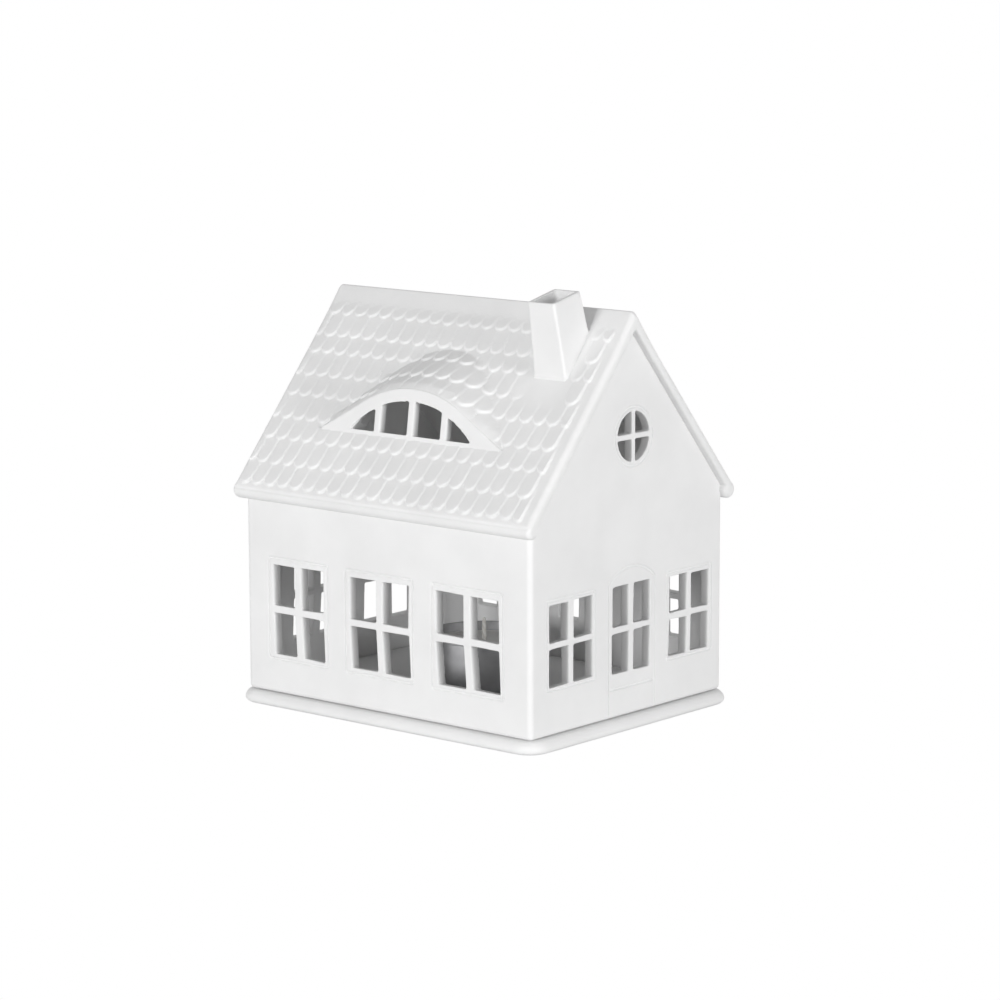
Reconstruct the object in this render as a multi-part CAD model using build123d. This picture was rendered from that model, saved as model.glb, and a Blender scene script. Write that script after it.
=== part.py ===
import math
import os

from build123d import *

# Tealight house in bisque porcelain. Millimetres, +Z up. The origin is the centre of
# the base plate's underside. The ridge runs along X. The front with three windows, the
# eyebrow dormer and the chimney faces -Y. The gable with the door faces +X.

# Base plate, which stands out from the foot of the walls on every side
plate_margin_x = 3.2
plate_margin_y = 2.9
plate_thickness = 4.2
plate_corner_radius = 8.0
plate_nose_share = 0.48
plinth_height = 2.6
plinth_clearance = 1.0
plinth_corner_radius = 2.5
plinth_edge_radius = 0.7

# Walls
wall_length = 120.0
wall_depth = 96.6
wall_thickness = 3.2
wall_corner_radius = 2.0
groove_width = 0.9
groove_depth = 0.4
pane_corner_radius = 0.5
wall_sill_height = 13.6
wall_window_height = 29.0
wall_bar_width = 2.8
wall_frame_margin = 2.5

# Front wall windows: centre along X and width, left to right
front_window_centres = (-37.2, -2.3, 34.4)
front_window_widths = (21.6, 24.4, 25.1)
front_post_width = 3.2

# Back wall windows, which the photo only shows in part
back_window_centres = (-31.7, 4.8, 37.6)
back_window_widths = (20.4, 20.4, 14.4)
back_sill_height = 16.6

# Gable with the door
gable_window_centres = (-28.7, 31.0)
gable_window_widths = (20.8, 20.2)
gable_sill_height = 16.0
gable_window_height = 25.2
gable_bar_width = 2.6
gable_frame_margin = 1.9
door_centre = 1.2
door_pane_width = 18.7
door_pane_sill = 14.8
door_pane_height = 27.4
door_frame_margin = 2.8
door_spring_height = 43.4
door_arch_rise = 4.8
door_panel_height = 9.6
round_window_centre = 2.0
round_window_height = 88.8
round_window_radius = 8.0
round_window_ring = 1.8
round_bar_width = 1.8

# Gable without the door
far_window_centres = (-18.2, 16.8)
far_window_widths = (22.4, 24.4)
far_sill_height = 14.5

# Roof
ridge_height = 127.7
roof_slope = 1.163
roof_thickness = 3.4
gable_overhang = 2.6
eave_overhang = 3.9
eave_roll_radius = 2.8
rake_top_radius = 1.9
ridge_radius = 1.2

# Tile courses
tile_pitch = 5.5
tile_sagitta = 2.3
tile_thickness = 1.2
tile_step = 0.85
tile_sink = 0.2
tile_lap = 0.6
tile_rake_band = 4.6
tile_edge_band = 1.9
tile_start_gap = 4.4
tile_stagger_share = 0.5
first_course = 11.3
course_shares = (0.0, 0.13, 0.235, 0.362, 0.485, 0.618, 0.738, 0.876, 1.0)
course_span = 66.5
first_tile_length = 5.6

# Dormer, in its own face plane that leans back and whose foot lies on the slope
dormer_foot = 36.3
dormer_lean = 8.0
dormer_climb = 26.0
dormer_crown_radius = 39.6
dormer_crown_half = 19.8
dormer_height = 16.9
dormer_foot_rise = 1.3
dormer_frame_depth = 3.0
dormer_reach = 24.0
dormer_opening_half = 25.2
dormer_opening_rise = 10.7
dormer_sill = 2.1
dormer_post_width = 2.8
dormer_post_pitch = 13.9
dormer_hood_step = 0.35
dormer_well_inset = 2.4
dormer_well_drop = 9.0
dormer_well_length = 12.0

# Chimney, measured along its own leaning axis from the middle of the stack
chimney_x = 42.3
chimney_y = -11.2
chimney_under_ridge = 13.7
chimney_lean = 12.8
chimney_rise = 19.4
chimney_drop = 16.0
chimney_half_x = 6.34
chimney_half_y = 7.42
chimney_taper_x = 0.051
chimney_taper_y = 0.037
chimney_wall = 1.7
chimney_corner_radius = 0.8
chimney_flue_radius = 0.5

# Tealight
cup_radius = 19.2
cup_height = 16.0
cup_wall = 0.4
cup_rim_width = 0.5
cup_rim_height = 0.6
wax_clearance = 0.05
wax_height = 13.0
wax_dish_drop = 0.5
wick_radius = 0.8
wick_stand = 8.0
wick_fit = 0.05
tab_radius = 6.0
tab_thickness = 0.3
tab_neck_radius = 1.6
tab_neck_height = 4.0

# Derived places
wall_window_top = wall_sill_height + wall_window_height
plate_length = wall_length + 2 * plate_margin_x
plate_depth = wall_depth + 2 * plate_margin_y
floor_z = plate_thickness
ridge_z = floor_z + ridge_height
chimney_z = ridge_z - chimney_under_ridge
half_length = wall_length / 2
half_depth = wall_depth / 2
slope_factor = math.hypot(1, roof_slope)
normal_y = roof_slope / slope_factor
normal_z = 1 / slope_factor
roof_half = half_length + gable_overhang
tile_start = -roof_half + tile_start_gap
roll_y = half_depth + eave_overhang - eave_roll_radius
roll_z = ridge_z - roof_slope * roll_y - eave_roll_radius * slope_factor
tealight_z = floor_z + plinth_height
front = -1
back = 1


def slope_point(side, along, out):
    """Y and Z of a point on one slope: distance down from the ridge and out of its face."""
    y = along * normal_z + out * normal_y
    z = ridge_z - along * normal_y + out * normal_z
    return (side * y, z)


def yz_prism(points, half):
    """Prism along X from a closed outline of points in the YZ plane."""
    lines = Polyline([(0, y, z) for y, z in points], close=True)
    face = make_face(lines)
    return extrude(face, amount=half, dir=(1, 0, 0), both=True)


def sky_prism(depth, half):
    """Everything above both slopes, sunk by a depth under their faces."""
    reach = plate_depth
    drop_z = ridge_z - depth * slope_factor
    foot_z = drop_z - roof_slope * reach
    top_z = ridge_z + plate_depth
    points = [(0, drop_z), (reach, foot_z), (reach, top_z), (-reach, top_z), (-reach, foot_z)]
    return yz_prism(points, half)


def roof_side(side, half):
    """One slope with its round eave, as a prism along X."""
    centre_along = roll_y * normal_z + (ridge_z - roll_z) * normal_y
    top = slope_point(side, centre_along, 0)
    inner_out = eave_roll_radius - roof_thickness
    run = math.sqrt(eave_roll_radius ** 2 - inner_out ** 2)
    diagonal = eave_roll_radius * math.sqrt(0.5)
    mid = slope_point(side, centre_along + diagonal, -eave_roll_radius - diagonal)
    inner = slope_point(side, centre_along - run, -roof_thickness)
    ridge_in = (0, ridge_z - roof_thickness * slope_factor)
    as_3d = [(0, y, z) for y, z in (top, mid, inner, ridge_in, (0, ridge_z))]
    outline = [
        ThreePointArc(as_3d[0], as_3d[1], as_3d[2]),
        Line(as_3d[2], as_3d[3]),
        Line(as_3d[3], as_3d[4]),
        Line(as_3d[4], as_3d[0]),
    ]
    face = make_face(outline)
    return extrude(face, amount=half, dir=(1, 0, 0), both=True)


def roof_block(half):
    return roof_side(front, half) + roof_side(back, half)


def rounded_roof():
    """Both slopes with a soft ridge and soft rakes."""
    block = roof_block(roof_half)
    ridge = [e for e in block.edges().filter_by(Axis.X) if e.center().Z > ridge_z - ridge_radius]
    block = fillet(ridge, ridge_radius)
    ends = [e for e in block.edges() if abs(abs(e.center().X) - roof_half) < ridge_radius / 10]
    upper = []
    for edge in ends:
        middle = edge @ 0.5
        face_z = ridge_z - roof_slope * abs(middle.Y)
        if face_z - middle.Z < roof_thickness:
            upper.append(edge)
    return fillet(upper, rake_top_radius)


def tile_course(side, index):
    """One staggered course of round-ended tiles, tilted so that its lower end stands up."""
    low = first_course + course_span * course_shares[index]
    if index == 0:
        high = low - first_tile_length
    else:
        high = first_course + course_span * course_shares[index - 1] - tile_sagitta - tile_lap
    left = -roof_half + tile_edge_band
    right = roof_half - tile_rake_band
    shift = tile_stagger_share * tile_pitch * (index % 2)
    count = int((right - left) / tile_pitch) + 2
    tilt = math.atan2(tile_step + tile_sink, low - high)
    length = (low - high) / math.cos(tilt)
    edge_v = length - tile_sagitta
    lines = []
    start = left
    for number in range(count):
        middle = tile_start + shift + tile_pitch * number
        end = min(middle + tile_pitch / 2, right)
        width = end - start
        if width > tile_pitch / 4:
            arc_mid = ((start + end) / 2, length - tile_sagitta * (1 - width / tile_pitch))
            lines.append(ThreePointArc((start, edge_v), arc_mid, (end, edge_v)))
            start = end
    lines.append(Line((start, edge_v), (start, 0)))
    lines.append(Line((start, 0), (left, 0)))
    lines.append(Line((left, 0), (left, edge_v)))
    face = make_face(lines)
    y, z = slope_point(side, high, -tile_sink)
    angle = math.atan(roof_slope) - tilt
    down = (0, side * math.cos(angle), -math.sin(angle))
    place = Plane(origin=(0, y, z), x_dir=(1, 0, 0), z_dir=Vector(1, 0, 0).cross(Vector(*down)))
    course = place * face
    inward = (0, -side * math.sin(angle), -math.cos(angle))
    return extrude(course, amount=tile_thickness, dir=inward)


def dormer_plane():
    foot_z = ridge_z - roof_slope * dormer_foot
    lean = math.radians(dormer_lean)
    return Plane(
        origin=(0, -dormer_foot, foot_z),
        x_dir=(1, 0, 0),
        z_dir=(0, -math.cos(lean), math.sin(lean)),
    )


def dormer_along():
    climb = math.radians(dormer_climb)
    return (0, math.cos(climb), math.sin(climb))


def dormer_outline(inset):
    """Round crown that runs out into straight flanks, on the dormer's face plane."""
    top = dormer_height - inset
    radius = dormer_crown_radius - inset
    half = dormer_crown_half * radius / dormer_crown_radius
    shoulder = top - radius + math.sqrt(radius ** 2 - half ** 2)
    flank = half / math.sqrt(radius ** 2 - half ** 2)
    tip_x = half + (shoulder - dormer_foot_rise) / flank
    lines = [
        ThreePointArc((-half, shoulder), (0, top), (half, shoulder)),
        Line((half, shoulder), (tip_x, dormer_foot_rise)),
        Line((tip_x, dormer_foot_rise), (tip_x, 0)),
        Line((tip_x, 0), (-tip_x, 0)),
        Line((-tip_x, 0), (-tip_x, dormer_foot_rise)),
        Line((-tip_x, dormer_foot_rise), (-half, shoulder)),
    ]
    return dormer_plane() * make_face(lines)


def dormer_opening():
    """Segment of a circle over the dormer's sill."""
    lines = [
        ThreePointArc(
            (-dormer_opening_half, dormer_sill),
            (0, dormer_sill + dormer_opening_rise),
            (dormer_opening_half, dormer_sill),
        ),
        Line((dormer_opening_half, dormer_sill), (-dormer_opening_half, dormer_sill)),
    ]
    return dormer_plane() * make_face(lines)


def climb_prism(face, start, length):
    """Prism from a face of the dormer plane along the climb of the dormer's hood."""
    ahead = Vector(*dormer_along()) * start
    return extrude(face.moved(Location(ahead)), amount=length, dir=dormer_along())


def dormer_window():
    frame = climb_prism(dormer_outline(0), 0, dormer_frame_depth)
    opening = climb_prism(dormer_opening(), -dormer_frame_depth, 3 * dormer_frame_depth)
    posts = []
    for number in (-1, 0, 1):
        post = dormer_plane() * Pos(number * dormer_post_pitch, dormer_height / 2) * Rectangle(
            dormer_post_width, dormer_height)
        posts.append(climb_prism(post, 0, dormer_frame_depth))
    bars = Part() + posts
    return (frame - opening) + (frame & bars)


def chimney_ring(along, inset, radius):
    """Rounded rectangle square to the leaning axis, at a distance along it."""
    lean = math.radians(chimney_lean)
    axis = Vector(0, -math.sin(lean), math.cos(lean))
    middle = Vector(chimney_x, chimney_y, chimney_z) + axis * along
    place = Plane(origin=middle, x_dir=(1, 0, 0), z_dir=axis)
    half_x = chimney_half_x - chimney_taper_x * along - inset
    half_y = chimney_half_y - chimney_taper_y * along - inset
    return place * RectangleRounded(2 * half_x, 2 * half_y, radius)


def chimney_stack(inset, radius, extra):
    low = chimney_ring(-chimney_drop - extra, inset, radius)
    high = chimney_ring(chimney_rise + extra, inset, radius)
    return loft([low, high])


def chimney_outside():
    return chimney_stack(0, chimney_corner_radius, 0) & sky_prism(0, plate_length)


def chimney_flue():
    return chimney_stack(chimney_wall, chimney_flue_radius, chimney_wall)


def chimney():
    return chimney_outside() - chimney_flue()


def tiled_slope(side):
    """One slope, parted from the other along the ridge, with its courses of tiles."""
    reach = plate_length
    half_room = Pos(0, side * reach / 2, ridge_z) * Box(2 * reach, reach, 2 * reach)
    courses = []
    for index in range(len(course_shares)):
        courses.append(tile_course(side, index))
    return (rounded_roof() & half_room) + courses


def dormer_well():
    """The hole in the slope behind the dormer's sill."""
    width = 2 * (dormer_opening_half - dormer_well_inset)
    middle = dormer_sill - dormer_well_drop / 2
    face = dormer_plane() * Pos(0, middle) * Rectangle(width, dormer_well_drop)
    return climb_prism(face, dormer_frame_depth, dormer_well_length)


def hood_outside():
    hood = climb_prism(dormer_outline(dormer_hood_step), dormer_frame_depth, dormer_reach)
    return hood & sky_prism(0, plate_length)


def dormer_throat():
    return climb_prism(dormer_opening(), 0, dormer_reach)


def dormer_hood():
    return hood_outside() - dormer_throat()


def roof_front():
    """The slope that carries dormer and chimney, with the holes under both."""
    body = tiled_slope(front) - hood_outside()
    body = body - climb_prism(dormer_outline(0), -dormer_frame_depth, 2 * dormer_frame_depth)
    body = body - dormer_throat() - dormer_well()
    body = body - chimney_outside() - chimney_flue()
    return body.solids().sort_by(SortBy.VOLUME)[-1]


def roof_back():
    return tiled_slope(back)


def pane_grid(centre, width, sill, height, post, bar):
    """Four pane openings as flat faces, two by two."""
    pane_w = (width - post) / 2
    pane_h = (height - bar) / 2
    faces = []
    for across in (-1, 1):
        for up in (-1, 1):
            x = centre + across * (pane_w + post) / 2
            z = sill + height / 2 + up * (pane_h + bar) / 2
            faces.append(Pos(x, z) * RectangleRounded(pane_w, pane_h, pane_corner_radius))
    return faces


def frame_ring(centre, width, sill, height, margin):
    """Outline groove round a window, as a flat face."""
    outer_w = width + 2 * margin
    outer_h = height + 2 * margin
    at = Pos(centre, sill + height / 2)
    outer = at * RectangleRounded(outer_w, outer_h, margin / 2)
    inner = at * Rectangle(outer_w - 2 * groove_width, outer_h - 2 * groove_width)
    return outer - inner


def wall_plane(side_x, side_y):
    """Outer face plane of a wall, with its X to the right as seen from outside."""
    return Plane(
        origin=(side_x * half_length, side_y * half_depth, floor_z),
        x_dir=(-side_y, side_x, 0),
        z_dir=(side_x, side_y, 0),
    )


def through(place, faces):
    flats = [place * face for face in faces]
    cuts = []
    for flat in flats:
        cuts.append(extrude(flat, amount=2 * wall_thickness, both=True))
    return cuts


def engraved(place, faces):
    cuts = []
    for face in faces:
        cuts.append(extrude(place * face, amount=groove_depth, both=True))
    return cuts


def large_window_cuts(place, centre, width, sill):
    """A window of the long walls or the far gable, up to the height of all of them."""
    height = wall_window_top - sill
    panes = pane_grid(centre, width, sill, height, front_post_width, wall_bar_width)
    ring = frame_ring(centre, width, sill, height, wall_frame_margin)
    return through(place, panes) + engraved(place, [ring])


def long_wall_cuts(side, centres, widths, sill):
    place = wall_plane(0, side)
    cuts = []
    for centre, width in zip(centres, widths):
        cuts += large_window_cuts(place, -side * centre, width, sill)
    return cuts


def round_window_cuts(place, x):
    at = Pos(x, round_window_height)
    disc = at * Circle(round_window_radius)
    cross = at * Rectangle(2 * round_window_radius, round_bar_width)
    cross = cross + at * Rectangle(round_bar_width, 2 * round_window_radius)
    quarters = (disc - cross).faces()
    ring_in = Circle(round_window_radius + round_window_ring - groove_width)
    ring = at * (Circle(round_window_radius + round_window_ring) - ring_in)
    return through(place, quarters) + engraved(place, [ring])


def door_outline(inset):
    half = door_pane_width / 2 + door_frame_margin - inset
    spring = door_spring_height - inset / 2
    crown = door_spring_height + door_arch_rise - inset
    lines = [
        Line((door_centre - half, -groove_width), (door_centre + half, -groove_width)),
        Line((door_centre + half, -groove_width), (door_centre + half, spring)),
        ThreePointArc(
            (door_centre + half, spring), (door_centre, crown), (door_centre - half, spring)),
        Line((door_centre - half, spring), (door_centre - half, -groove_width)),
    ]
    return make_face(lines)


def door_gable_cuts():
    place = wall_plane(1, 0)
    cuts = []
    for centre, width in zip(gable_window_centres, gable_window_widths):
        panes = pane_grid(
            centre, width, gable_sill_height, gable_window_height, gable_bar_width,
            gable_bar_width)
        ring = frame_ring(
            centre, width, gable_sill_height, gable_window_height, gable_frame_margin)
        cuts += through(place, panes) + engraved(place, [ring])
    panes = pane_grid(
        door_centre, door_pane_width, door_pane_sill, door_pane_height, gable_bar_width,
        gable_bar_width)
    outline = door_outline(0) - door_outline(groove_width)
    panel_width = door_pane_width + 2 * door_frame_margin - groove_width
    panel = Pos(door_centre, door_panel_height) * Rectangle(panel_width, groove_width)
    cuts += through(place, panes) + engraved(place, [outline, panel])
    return cuts + round_window_cuts(place, round_window_centre)


def far_gable_cuts():
    place = wall_plane(-1, 0)
    cuts = []
    for centre, width in zip(far_window_centres, far_window_widths):
        cuts += large_window_cuts(place, -centre, width, far_sill_height)
    return cuts + round_window_cuts(place, -round_window_centre)


def wall_shell():
    """All four walls in one, cut to fit under the roof."""
    outer = Rectangle(wall_length, wall_depth)
    outer = fillet(outer.vertices(), wall_corner_radius)
    inner = Rectangle(wall_length - 2 * wall_thickness, wall_depth - 2 * wall_thickness)
    shell = extrude(Pos(0, 0, floor_z) * (outer - inner), amount=ridge_height)
    return shell - roof_block(plate_length) - sky_prism(roof_thickness / 2, plate_length)


def mitred(shell, side_x, side_y):
    """The part of the shell that is one wall, mitred into its neighbours at the corners."""
    out = wall_corner_radius
    back_in = 2 * wall_thickness
    corners = []
    for grow in (out, -back_in):
        if side_y:
            y = side_y * (half_depth + grow)
            corners.append([(-half_length - grow, y), (half_length + grow, y)])
        else:
            x = side_x * (half_length + grow)
            corners.append([(x, -half_depth - grow), (x, half_depth + grow)])
    outline = corners[0] + corners[1][::-1]
    face = make_face(Polyline(outline, close=True))
    return shell & extrude(face, amount=floor_z + 2 * ridge_height)


def walls():
    shell = wall_shell()
    front_cuts = long_wall_cuts(
        front, front_window_centres, front_window_widths, wall_sill_height)
    back_cuts = long_wall_cuts(
        back, back_window_centres, back_window_widths, back_sill_height)
    return {
        "front_wall": mitred(shell, 0, front) - front_cuts,
        "back_wall": mitred(shell, 0, back) - back_cuts,
        "door_gable": mitred(shell, 1, 0) - door_gable_cuts(),
        "far_gable": mitred(shell, -1, 0) - far_gable_cuts(),
    }


def base_plate():
    outline = RectangleRounded(plate_length, plate_depth, plate_corner_radius)
    plate = extrude(outline, amount=plate_thickness)
    rims = plate.edges().group_by(Axis.Z)[0] + plate.edges().group_by(Axis.Z)[-1]
    plate = fillet(rims, plate_thickness * plate_nose_share)
    inner_length = wall_length - 2 * wall_thickness - 2 * plinth_clearance
    inner_depth = wall_depth - 2 * wall_thickness - 2 * plinth_clearance
    top = RectangleRounded(inner_length, inner_depth, plinth_corner_radius)
    plinth = extrude(Pos(0, 0, floor_z) * top, amount=plinth_height)
    plinth = fillet(plinth.edges().group_by(Axis.Z)[-1], plinth_edge_radius)
    return plate + plinth


def turned(points):
    """Solid of revolution about Z from radius and height points above the plinth."""
    lines = Polyline([(r, 0, tealight_z + z) for r, z in points], close=True)
    return revolve(make_face(lines), axis=Axis.Z)


def tealight_cup():
    inner = cup_radius - cup_wall
    flange = cup_radius + cup_rim_width
    rim_low = cup_height - cup_rim_height
    return turned([
        (0, 0), (cup_radius, 0), (cup_radius, rim_low), (flange, rim_low),
        (flange, cup_height), (inner, cup_height), (inner, cup_wall), (0, cup_wall),
    ])


def tab_points(clearance):
    low = cup_wall + wax_clearance - clearance
    foot = low + tab_thickness + 2 * clearance
    neck = cup_wall + wax_clearance + tab_neck_height + clearance
    return low, foot, neck


def tealight_wax():
    rim = cup_radius - cup_wall - wax_clearance
    low, foot, neck = tab_points(wick_fit)
    wick_hole = wick_radius + wick_fit
    neck_hole = tab_neck_radius + wick_fit
    tab_hole = tab_radius + wick_fit
    base = cup_wall + wax_clearance
    return turned([
        (tab_hole, base), (rim, base), (rim, wax_height), (wick_hole, wax_height - wax_dish_drop),
        (wick_hole, neck), (neck_hole, neck), (neck_hole, foot), (tab_hole, foot),
    ])


def wick_tab():
    low, foot, neck = tab_points(0)
    wick_hole = wick_radius + wick_fit
    return turned([
        (wick_hole, low), (tab_radius, low), (tab_radius, foot), (tab_neck_radius, foot),
        (tab_neck_radius, neck), (wick_hole, neck),
    ])


def tealight_wick():
    low, foot, neck = tab_points(0)
    return turned([(0, low), (wick_radius, low), (wick_radius, wax_height + wick_stand),
                   (0, wax_height + wick_stand)])


def main():
    os.makedirs("parts", exist_ok=True)
    pieces = {
        "base_plate": base_plate(),
        "roof_front": roof_front(),
        "roof_back": roof_back(),
        "dormer_hood": dormer_hood(),
        "dormer_window": dormer_window(),
        "chimney": chimney(),
        "tealight_cup": tealight_cup(),
        "tealight_wax": tealight_wax(),
        "tealight_wick": tealight_wick(),
        "wick_tab": wick_tab(),
    }
    pieces.update(walls())
    for name, shape in pieces.items():
        shape.label = name
        export_step(shape, f"parts/{name}.step")


main()
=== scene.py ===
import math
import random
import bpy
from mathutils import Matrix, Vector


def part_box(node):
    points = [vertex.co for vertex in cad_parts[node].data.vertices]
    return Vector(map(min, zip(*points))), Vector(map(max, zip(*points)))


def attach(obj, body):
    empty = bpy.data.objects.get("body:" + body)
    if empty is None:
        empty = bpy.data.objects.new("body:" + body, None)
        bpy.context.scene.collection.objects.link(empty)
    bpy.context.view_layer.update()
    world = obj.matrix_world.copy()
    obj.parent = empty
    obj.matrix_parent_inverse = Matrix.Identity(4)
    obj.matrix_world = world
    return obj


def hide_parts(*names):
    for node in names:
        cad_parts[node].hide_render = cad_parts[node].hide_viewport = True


bl_info = {
    "name": "Tealight House",
    "version": (1, 0, 0),
    "blender": (4, 5, 0),
    "location": "3D View > Sidebar > Tealight House",
    "description": "Dresses a porcelain tealight house: walls, tiled roof, dormer and chimney",
    "category": "Add Mesh",
}

import bmesh
import bpy
from bpy.props import FloatProperty, FloatVectorProperty, IntProperty, PointerProperty
from bpy.types import Operator, Panel, PropertyGroup
from mathutils import Matrix, Vector

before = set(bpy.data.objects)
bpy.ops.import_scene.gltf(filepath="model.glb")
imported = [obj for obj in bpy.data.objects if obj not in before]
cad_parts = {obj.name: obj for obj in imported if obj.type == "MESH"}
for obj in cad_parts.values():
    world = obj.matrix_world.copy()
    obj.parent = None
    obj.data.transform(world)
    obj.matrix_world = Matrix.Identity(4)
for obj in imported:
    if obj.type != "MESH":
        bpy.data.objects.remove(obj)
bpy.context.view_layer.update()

# The house in millimetres: X along the ridge, the front faces -Y, the door gable faces +X
MM = 0.001
FRONT = -1
BACK = 1
FLOOR_Z = 4.2
HALF_LENGTH = 60.0
HALF_DEPTH = 48.3
FOOT_GAP = 0.2
FOOT_RADIUS = 1.4
ROOM_CORNER = 0.8
RIDGE_Z = 131.9
SLOPE = 1.163
SLOPE_FACTOR = math.hypot(1, SLOPE)
SLOPE_RISE = SLOPE / SLOPE_FACTOR
SLOPE_RUN = 1 / SLOPE_FACTOR

# Door
DOOR_CENTRE = 1.2
DOOR_LIGHT_WIDTH = 18.7
DOOR_MARGIN = 2.8
DOOR_SPRING = 43.4
DOOR_RISE = 4.8
DOOR_RAIL = 10.0

# Windows: wall, sill and height over its foot, post, bar, margin up to the groove (none at the
# door), then the centre and width of each, with the lean of its lower panes outside and inside
WINDOWS = (
    ("front", 13.6, 29.0, 3.2, 2.8, 2.5,
     ((-37.2, 21.6, 0.5, 0.9), (-2.3, 24.4, 0.6, 0.9), (34.4, 25.1, 0.5, 1.5))),
    ("back", 16.6, 26.0, 3.2, 2.8, 2.5,
     ((-31.7, 20.4, 0.3, 0.5), (4.8, 20.4, -0.3, -0.4), (37.6, 14.4, 0.2, 0.4))),
    ("far", 14.5, 28.1, 3.2, 2.8, 2.5,
     ((-18.2, 22.4, -0.9, -0.9), (16.8, 24.4, -0.2, -0.3))),
    ("door", 16.0, 25.2, 2.6, 2.6, 1.9,
     ((-28.7, 20.8, 0.1, 0.2), (31.0, 20.2, -0.4, -0.5))),
    ("door", 14.8, 27.4, 2.6, 2.6, None,
     ((DOOR_CENTRE, DOOR_LIGHT_WIDTH, -0.1, -0.1),)),
)
ROUND_CENTRE = 2.0
ROUND_HEIGHT = 88.8
ROUND_RADIUS = 8.0
ROUND_HALF_BAR = 0.9
ROUND_MARGIN = 1.8

# How openings are cut: how deep and how far outside the face, how the sill falls inwards, and
# how the sponge rounds the outer edges
CUT_IN = 8.0
CUT_OUT = 4.0
GROOVE_OUT = 2.0
UPPER_LEAN_SHARE = 0.2
SILL_FALL = 1.5
LIP_REACH = 1.6
LIP_WIDTH = 0.5
LIP_INSET = 0.15
LIP_STEPS = (0.0, 0.08, 0.3, 0.7, LIP_REACH)

# Roof
ROOF_HALF = 62.6
ROOF_THICKNESS = 3.4
RIDGE_SWELL = 0.75
RIDGE_REACH = 22.0
RIDGE_SLICES = 9
RIDGE_TOP = RIDGE_Z + 0.55
RAKE_RADIUS = 1.9
UNDERSIDE_RADIUS = 0.7
SHOULDER_RADIUS = 3.3
SHOULDER_TOP = RIDGE_Z + 0.85
EAVE_ROLL = 2.8
EAVE_END_RADIUS = 1.6
EAVE_GROOVE = (1.2, 0.12)
EAVE_Y = 49.4
EAVE_Z = RIDGE_Z - SLOPE * EAVE_Y - EAVE_ROLL * SLOPE_FACTOR
EAVE_ALONG = EAVE_Y * SLOPE_RUN + (RIDGE_Z - EAVE_Z) * SLOPE_RISE
TILE_START = -58.2
COURSES = (11.3, 20.0, 26.6, 35.5, 43.6, 52.7, 60.6, 69.9, 78.0)
FIELD_LEFT = -60.7
FIELD_RIGHT = 58.0
TILES_ACROSS = 24
TOP_COURSE_LENGTH = 5.8
COURSE_OVERLAP = 2.6
TILE_STRAY = (0.12, 0.15)
TILE_DEPTH = 0.9
TILE_ROOT = -1.5
TILE_BODY = 4.0
TILE_EDGE = 0.45
TILE_TILT = 0.09
TILE_BASE = 0.05
TOP_COURSE_SINK = 0.25

# Dormer: a face that leans back, a round crown with straight flanks, and a hood that climbs
DORMER_FOOT = -36.3
DORMER_FOOT_Z = RIDGE_Z + SLOPE * DORMER_FOOT
DORMER_FOOT_ALONG = -DORMER_FOOT / SLOPE_RUN
HOOD_STRETCH = 1.06
HOOD_FADE = 2.2
HOOD_SINK = 1.6
DORMER_LEAN = math.radians(8.0)
DORMER_CLIMB = math.radians(26.0)
RISE_SHARE = 0.922
VALLEY_SHARE = 1.365
CROWN_RADIUS = 39.6
CROWN_HALF = 19.8
CROWN_HEIGHT = 16.9
FOOT_RISE = 1.3
DORMER_DEPTH = 3.0
HOOD_START = 0.4
HOOD_INSET = 0.1
HOLLOW_DROP = 9.0
SILL_TURN = 0.7
BACK_SHARE = 0.97
HOOD_LENGTH = 26.0
LIGHT_HALF = 25.2
LIGHT_RISE = 10.7
DORMER_SILL = 2.1
DORMER_POST = 2.8
DORMER_POST_PITCH = 13.9

# Chimney
CHIMNEY_AT = Vector((42.3, -11.2, 118.2))
CHIMNEY_LEAN = math.radians(12.8)
CHIMNEY_RISE = 19.4
CHIMNEY_DROP = 16.0
CHIMNEY_HALF = (6.34, 7.42)
CHIMNEY_TAPER = (0.051, 0.037)
CHIMNEY_EDGE = 0.8
FLUE_WALL = 2.2
FLUE_EDGE = 0.5
MOUTH_WALL = 0.95
MOUTH_DEPTH = 4.0
MOUTH_EDGE = 0.9
CLAY_SPREAD = 0.3
CLAY_TOP = CHIMNEY_RISE - 10
CLAY_EDGE = 1.2
CLAY_OVER_SLOPE = 0.35
STACK_SINK = 0.9
CLAY_MIDDLE_Y = -12.4
CLAY_HALF = (7.2, 8.6)
CLAY_FADE = 6.0
BARE_HALF = 8.0
BARE_Y = (-20.5, -3.0)

# Base plate: its rim is a little thinner than its middle
PLATE_CORNER = 8.0
NOSE_RADIUS = 2.0
RIM_FALL = 0.2
RIM_REACH = 3.0
PLINTH_HALF = (55.8, 44.1)
PLINTH_TOP = 6.8
PLINTH_CORNER = 2.5
PLINTH_EDGE = 0.7

# Tealight, on the plinth of the plate. The dish in the wax: width and fall of its steps.
CUP_RADIUS = 19.2
CUP_HEIGHT = 16.0
CUP_WALL = 0.3
CUP_EDGE = 0.9
RIM_RADIUS = 0.36
WAX_FOOT = PLINTH_TOP + 0.45
WAX_TOP = PLINTH_TOP + 13.0
WAX_RADIUS = 18.72
WAX_DISH = (
    (0.35, -0.22), (0.8, -0.16), (3.0, -0.08), (8.0, -0.03), (4.2, 0.0), (1.4, 0.25))
WICK_FOOT = PLINTH_TOP + 1.0
WICK_TIP = PLINTH_TOP + 21.0
WICK_RADIUS = 0.75

# Stage: azimuth, elevation and side of the soft lights, which aim at the middle of the house
LIGHTS = {"left": (0, 7, 0.34), "right": (86, 7, 0.55), "back": (222, 14, 1.2)}
LIGHT_DISTANCE = 1.5
LIGHT_AIM = Vector((0, 0, 0.07))
SKY_GREY = 0.39
FLOOR_SIZE = 60.0


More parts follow.
